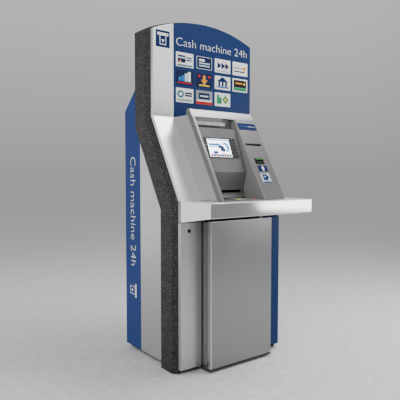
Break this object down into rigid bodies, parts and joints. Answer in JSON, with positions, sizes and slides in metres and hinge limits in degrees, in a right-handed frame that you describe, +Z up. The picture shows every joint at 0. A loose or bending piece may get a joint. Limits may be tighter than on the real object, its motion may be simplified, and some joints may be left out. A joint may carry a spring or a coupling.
{
  "type": "atm machine",
  "caption": "Free-standing cash machine kiosk with an arched header, sloping fascia with display, keypad and card reader, a steel shelf and a cover door over the safe.",
  "frame": {"origin": "centre of the footprint on the floor", "axes": "+Z up, the user stands on the -Y side, +X is the user's right"},
  "size_m": [0.82, 0.8824, 2.081],
  "materials": {
    "stone": "speckled stone-look laminate",
    "silver": "satin silver",
    "blue": "satin blue",
    "side": "satin silver with a blue rear band",
    "dark": "powder coat",
    "steel": "brushed",
    "zinc": "zinc plated",
    "fascia": "satin metallic",
    "liner": "satin",
    "black": "satin",
    "glass": "lit display",
    "key": "satin",
    "key_y": "satin",
    "key_g": "satin",
    "key_r": "satin",
    "key_w": "gloss",
    "label": "printed film",
    "safe": "powder coat"
  },
  "bodies": {
    "kiosk": {"base_frame": "dark", "levelling_feet": "zinc", "surround_left": "stone", "surround_right": "stone", "surround_arch": "stone", "side_panel_left": "side", "side_panel_right": "side", "rear_panel": "silver", "roof_panel": "silver", "header_back_panel": "dark", "header_sign_panel": "blue", "header_side_strip": "silver", "slant_panel_left": "silver", "slant_panel_right": "blue", "front_panel_right": "blue", "bay_frame": "dark", "hinge_pins": "zinc", "shelf": "steel", "safe_body": "safe", "safe_door": "safe", "computer": "dark", "power_inlet": "black", "top_box": "silver", "rail_outer": "zinc"},
    "fascia_unit": {"rail_inner": "zinc", "fascia_shell": "fascia", "recess_liner": "liner", "lamp_housing": "liner", "display_bezel": "black", "display_module": "glass", "keypad_plate": "liner", "cash_outlet": "black", "card_reader": "black", "receipt_slot": "black", "fascia_labels": "label"},
    "shutter": {"cash_shutter": "liner"},
    "cover_door": {"cover_door": "steel"},
    "service_door": {"service_door": "silver"},
    "lock": {"lock_cylinder": "zinc"},
    "keypad_01": {"key_01": "key_y"},
    "keypad_02": {"key_02": "key"},
    "keypad_03": {"key_03": "key_g"},
    "keypad_04": {"key_04": "key_r"},
    "keypad_05": {"key_05": "key"},
    "keypad_06": {"key_06": "key"},
    "keypad_07": {"key_07": "key"},
    "keypad_08": {"key_08": "key"},
    "keypad_09": {"key_09": "key"},
    "keypad_10": {"key_10": "key"},
    "keypad_11": {"key_11": "key"},
    "keypad_12": {"key_12": "key"},
    "keypad_13": {"key_13": "key"},
    "display_key_1": {"side_key_1": "key_w"},
    "display_key_2": {"side_key_2": "key_w"},
    "display_key_3": {"side_key_3": "key_w"},
    "display_key_4": {"side_key_4": "key_w"},
    "display_key_5": {"side_key_5": "key_w"},
    "display_key_6": {"side_key_6": "key_w"},
    "display_key_7": {"side_key_7": "key_w"},
    "display_key_8": {"side_key_8": "key_w"}
  },
  "joints": [
    {"name": "fascia_slide", "type": "slide", "parent": "kiosk", "child": "fascia_unit", "axis": [0, -1, 0], "range_m": [0, 0.3]},
    {"name": "cover_door_hinge", "type": "hinge", "parent": "kiosk", "child": "cover_door", "pos_m": [0.232, -0.22275, 0.443], "axis": [0, 0, 1], "range_deg": [0, 110]},
    {"name": "service_door_hinge", "type": "hinge", "parent": "kiosk", "child": "service_door", "pos_m": [-0.25, -0.16675, 0.443], "axis": [0, 0, 1], "range_deg": [0, 90]},
    {"name": "lock_turn", "type": "hinge", "parent": "service_door", "child": "lock", "pos_m": [-0.331, -0.16675, 0.815], "axis": [0, -1, 0], "range_deg": [0, 90]},
    {"name": "shutter_lift", "type": "slide", "parent": "fascia_unit", "child": "shutter", "axis": [0, 0, 1], "range_m": [0, 0.03]},
    {"name": "press_key_01", "type": "slide", "parent": "fascia_unit", "child": "keypad_01", "axis": [0, 0, -1], "range_m": [0, 0.002], "stiffness_N_per_m": 400, "springref_m": -0.002},
    {"name": "press_key_02", "type": "slide", "parent": "fascia_unit", "child": "keypad_02", "axis": [0, 0, -1], "range_m": [0, 0.002], "stiffness_N_per_m": 400, "springref_m": -0.002},
    {"name": "press_key_03", "type": "slide", "parent": "fascia_unit", "child": "keypad_03", "axis": [0, 0, -1], "range_m": [0, 0.002], "stiffness_N_per_m": 400, "springref_m": -0.002},
    {"name": "press_key_04", "type": "slide", "parent": "fascia_unit", "child": "keypad_04", "axis": [0, 0, -1], "range_m": [0, 0.002], "stiffness_N_per_m": 400, "springref_m": -0.002},
    {"name": "press_key_05", "type": "slide", "parent": "fascia_unit", "child": "keypad_05", "axis": [0, 0, -1], "range_m": [0, 0.002], "stiffness_N_per_m": 400, "springref_m": -0.002},
    {"name": "press_key_06", "type": "slide", "parent": "fascia_unit", "child": "keypad_06", "axis": [0, 0, -1], "range_m": [0, 0.002], "stiffness_N_per_m": 400, "springref_m": -0.002},
    {"name": "press_key_07", "type": "slide", "parent": "fascia_unit", "child": "keypad_07", "axis": [0, 0, -1], "range_m": [0, 0.002], "stiffness_N_per_m": 400, "springref_m": -0.002},
    {"name": "press_key_08", "type": "slide", "parent": "fascia_unit", "child": "keypad_08", "axis": [0, 0, -1], "range_m": [0, 0.002], "stiffness_N_per_m": 400, "springref_m": -0.002},
    {"name": "press_key_09", "type": "slide", "parent": "fascia_unit", "child": "keypad_09", "axis": [0, 0, -1], "range_m": [0, 0.002], "stiffness_N_per_m": 400, "springref_m": -0.002},
    {"name": "press_key_10", "type": "slide", "parent": "fascia_unit", "child": "keypad_10", "axis": [0, 0, -1], "range_m": [0, 0.002], "stiffness_N_per_m": 400, "springref_m": -0.002},
    {"name": "press_key_11", "type": "slide", "parent": "fascia_unit", "child": "keypad_11", "axis": [0, 0, -1], "range_m": [0, 0.002], "stiffness_N_per_m": 400, "springref_m": -0.002},
    {"name": "press_key_12", "type": "slide", "parent": "fascia_unit", "child": "keypad_12", "axis": [0, 0, -1], "range_m": [0, 0.002], "stiffness_N_per_m": 400, "springref_m": -0.002},
    {"name": "press_key_13", "type": "slide", "parent": "fascia_unit", "child": "keypad_13", "axis": [0, 0, -1], "range_m": [0, 0.002], "stiffness_N_per_m": 400, "springref_m": -0.002},
    {"name": "press_side_key_1", "type": "slide", "parent": "fascia_unit", "child": "display_key_1", "axis": [0, 0.9307, -0.3658], "range_m": [0, 0.0015], "stiffness_N_per_m": 400, "springref_m": -0.0015},
    {"name": "press_side_key_2", "type": "slide", "parent": "fascia_unit", "child": "display_key_2", "axis": [0, 0.9307, -0.3658], "range_m": [0, 0.0015], "stiffness_N_per_m": 400, "springref_m": -0.0015},
    {"name": "press_side_key_3", "type": "slide", "parent": "fascia_unit", "child": "display_key_3", "axis": [0, 0.9307, -0.3658], "range_m": [0, 0.0015], "stiffness_N_per_m": 400, "springref_m": -0.0015},
    {"name": "press_side_key_4", "type": "slide", "parent": "fascia_unit", "child": "display_key_4", "axis": [0, 0.9307, -0.3658], "range_m": [0, 0.0015], "stiffness_N_per_m": 400, "springref_m": -0.0015},
    {"name": "press_side_key_5", "type": "slide", "parent": "fascia_unit", "child": "display_key_5", "axis": [0, 0.9307, -0.3658], "range_m": [0, 0.0015], "stiffness_N_per_m": 400, "springref_m": -0.0015},
    {"name": "press_side_key_6", "type": "slide", "parent": "fascia_unit", "child": "display_key_6", "axis": [0, 0.9307, -0.3658], "range_m": [0, 0.0015], "stiffness_N_per_m": 400, "springref_m": -0.0015},
    {"name": "press_side_key_7", "type": "slide", "parent": "fascia_unit", "child": "display_key_7", "axis": [0, 0.9307, -0.3658], "range_m": [0, 0.0015], "stiffness_N_per_m": 400, "springref_m": -0.0015},
    {"name": "press_side_key_8", "type": "slide", "parent": "fascia_unit", "child": "display_key_8", "axis": [0, 0.9307, -0.3658], "range_m": [0, 0.0015], "stiffness_N_per_m": 400, "springref_m": -0.0015}
  ]
}
